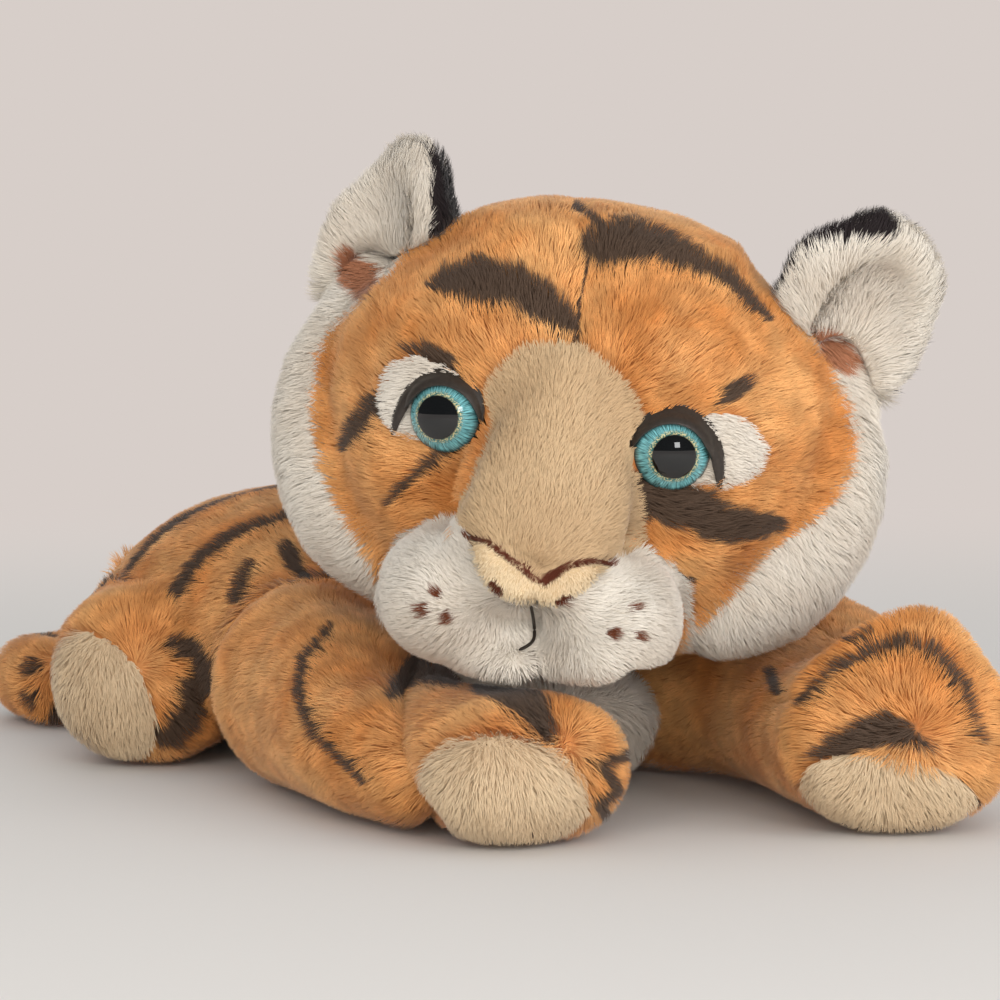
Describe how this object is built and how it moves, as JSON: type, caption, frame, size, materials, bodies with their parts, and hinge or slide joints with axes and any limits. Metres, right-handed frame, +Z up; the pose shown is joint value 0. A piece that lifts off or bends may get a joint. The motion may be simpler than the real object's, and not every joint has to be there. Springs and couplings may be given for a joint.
{
  "type": "plush tiger",
  "caption": "Plush tiger cub lying on its belly with its head up and turned, jointed by its sewn seams at neck, legs and tail.",
  "frame": {"origin": "middle of the toy's outline seen from above, on the floor that it lies on", "axes": "-Y the way the body points (head end), +X to the toy's left, +Z up"},
  "size_m": [0.2316, 0.4444, 0.2107],
  "materials": {
    "orange_plush": "long silky pile",
    "white_plush": "long silky pile",
    "beige_plush": "short dense pile",
    "black_plush": "long silky pile",
    "tan_velour": "smooth short velour",
    "turquoise_plastic": "polished",
    "grey_plastic": "satin",
    "white_nylon": "moulded",
    "pellet_bag_cloth": "plain weave"
  },
  "bodies": {
    "body": {"torso": "orange_plush", "belly_panel": "white_plush", "belly_pellet_bag": "pellet_bag_cloth"},
    "neck": {"neck": "orange_plush"},
    "head": {"head": "orange_plush", "snout_bridge": "beige_plush", "nose": "tan_velour", "chin": "white_plush", "muzzle_pad_left": "white_plush", "cheek_ruff_left": "white_plush", "eye_patch_left": "white_plush", "eye_left": "turquoise_plastic", "eyelid_left": "grey_plastic", "eye_washer_left": "white_nylon", "ear_front_left": "white_plush", "ear_back_left": "black_plush", "muzzle_pad_right": "white_plush", "cheek_ruff_right": "white_plush", "eye_patch_right": "white_plush", "eye_right": "turquoise_plastic", "eyelid_right": "grey_plastic", "eye_washer_right": "white_nylon", "ear_front_right": "white_plush", "ear_back_right": "black_plush"},
    "foreleg_right": {"foreleg_right": "orange_plush", "foreleg_right_sole_pad": "beige_plush", "foreleg_right_pellet_pouch": "pellet_bag_cloth"},
    "foreleg_left": {"foreleg_left": "orange_plush", "foreleg_left_sole_pad": "beige_plush", "foreleg_left_pellet_pouch": "pellet_bag_cloth"},
    "hindleg_right": {"hindleg_right": "orange_plush", "hindleg_right_sole_pad": "beige_plush", "hindleg_right_pellet_pouch": "pellet_bag_cloth"},
    "hindleg_left": {"hindleg_left": "orange_plush", "hindleg_left_sole_pad": "beige_plush", "hindleg_left_pellet_pouch": "pellet_bag_cloth"},
    "tail": {"tail": "orange_plush"}
  },
  "joints": [
    {"name": "neck_turn", "type": "hinge", "parent": "body", "child": "neck", "pos_m": [0.0141, -0.07665, 0.081], "axis": [0, 0, 1], "range_deg": [-12, 10]},
    {"name": "neck_nod", "type": "hinge", "parent": "neck", "child": "head", "pos_m": [0.0141, -0.07665, 0.081], "axis": [-0.7771, 0.6293, 0], "range_deg": [0, 12]},
    {"name": "shoulder_right", "type": "hinge", "parent": "body", "child": "foreleg_right", "pos_m": [-0.0581, -0.01878, 0.0335], "axis": [0, 0, -1], "range_deg": [0, 25]},
    {"name": "shoulder_left", "type": "hinge", "parent": "body", "child": "foreleg_left", "pos_m": [0.0483, -0.01878, 0.0335], "axis": [0, 0, 1], "range_deg": [0, 25]},
    {"name": "hip_right", "type": "hinge", "parent": "body", "child": "hindleg_right", "pos_m": [-0.04518, 0.11183, 0.0345], "axis": [0, 0, -1], "range_deg": [0, 25]},
    {"name": "hip_left", "type": "hinge", "parent": "body", "child": "hindleg_left", "pos_m": [0.03538, 0.11183, 0.0345], "axis": [0, 0, 1], "range_deg": [0, 25]},
    {"name": "tail_swing", "type": "hinge", "parent": "body", "child": "tail", "pos_m": [-0.0049, 0.16822, 0.034], "axis": [0, 0, -1], "range_deg": [0, 20]}
  ]
}
